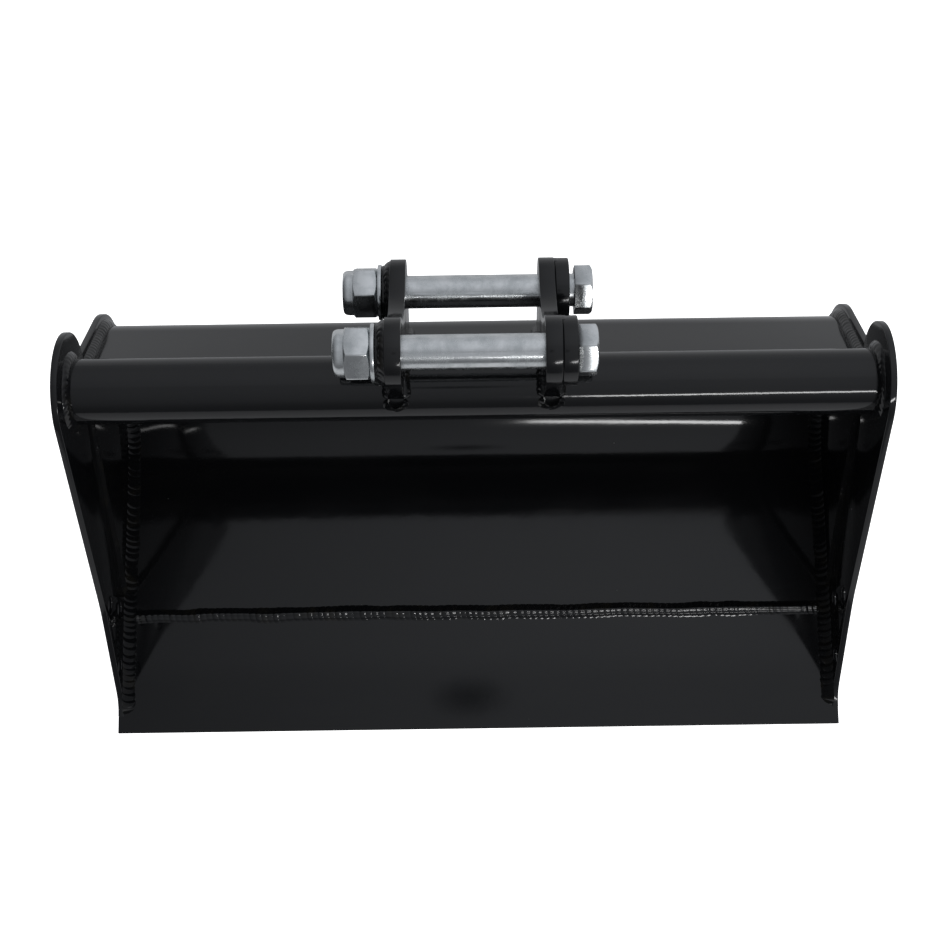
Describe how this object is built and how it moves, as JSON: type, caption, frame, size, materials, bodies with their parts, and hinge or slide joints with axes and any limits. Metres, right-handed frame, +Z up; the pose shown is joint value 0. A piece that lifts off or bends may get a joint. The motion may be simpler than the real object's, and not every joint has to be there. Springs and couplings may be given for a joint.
{
  "type": "excavator bucket",
  "caption": "Wide ditch-grading bucket for a mini excavator: a low welded pan under a torsion tube, with two hanger ears and bolted pins held by lock nuts.",
  "frame": {"origin": "under the middle of the whole bucket's box, on the surface that it lies on", "axes": "+X along the torsion tube and the pins towards the pin heads, +Y from the cutting edge back to the hanger ears, +Z up from the flat bottom"},
  "size_m": [0.6, 0.3548, 0.2881],
  "materials": {
    "black_paint": "gloss black paint over welded steel plate",
    "painted_weld": "gloss black paint over rippled weld bead",
    "zinc_plated_steel": "bright zinc plate, slightly blue",
    "nylon": "plain nylon"
  },
  "bodies": {
    "bucket": {"bucket_shell": "black_paint", "cutting_edge": "black_paint", "torsion_tube": "black_paint", "side_cutter_left": "black_paint", "side_cutter_right": "black_paint", "side_plate_left": "black_paint", "side_plate_right": "black_paint", "ear_left": "black_paint", "ear_right": "black_paint", "front_boss_left": "black_paint", "front_boss_right": "black_paint", "rear_boss_left": "black_paint", "rear_boss_right": "black_paint", "lip_seam_weld": "painted_weld", "shell_weld_left": "painted_weld", "shell_weld_right": "painted_weld", "back_wall_weld_left": "painted_weld", "back_wall_weld_right": "painted_weld", "tube_weld_left": "painted_weld", "tube_weld_right": "painted_weld", "ear_weld_left": "painted_weld", "ear_weld_right": "painted_weld"},
    "front_pin": {"front_pin": "zinc_plated_steel"},
    "front_washer": {"front_nut_washer": "zinc_plated_steel"},
    "front_nut": {"front_nut": "zinc_plated_steel", "front_nut_insert": "nylon"},
    "rear_pin": {"rear_pin": "zinc_plated_steel"},
    "rear_washer": {"rear_nut_washer": "zinc_plated_steel"},
    "rear_nut": {"rear_nut": "zinc_plated_steel", "rear_nut_insert": "nylon"}
  },
  "joints": [
    {"name": "front_pin_draw", "type": "slide", "parent": "bucket", "child": "front_pin", "axis": [1, 0, 0], "range_m": [0, 0.18]},
    {"name": "front_nut_travel", "type": "slide", "parent": "bucket", "child": "front_washer", "axis": [-1, 0, 0], "range_m": [0, 0.0361]},
    {"name": "front_nut_turn", "type": "hinge", "parent": "front_washer", "child": "front_nut", "pos_m": [-0.08, 0.0847, 0.2631], "axis": [-1, 0, 0], "range_deg": [0, 4320]},
    {"name": "rear_pin_draw", "type": "slide", "parent": "bucket", "child": "rear_pin", "axis": [1, 0, 0], "range_m": [0, 0.18]},
    {"name": "rear_nut_travel", "type": "slide", "parent": "bucket", "child": "rear_washer", "axis": [-1, 0, 0], "range_m": [0, 0.0361]},
    {"name": "rear_nut_turn", "type": "hinge", "parent": "rear_washer", "child": "rear_nut", "pos_m": [-0.08, 0.1524, 0.1755], "axis": [-1, 0, 0], "range_deg": [0, 4320]}
  ],
  "couplings": [
    {"joint": "front_nut_travel", "follows": "front_nut_turn", "m_per_rad": 0.00047746},
    {"joint": "rear_nut_travel", "follows": "rear_nut_turn", "m_per_rad": 0.00047746}
  ]
}
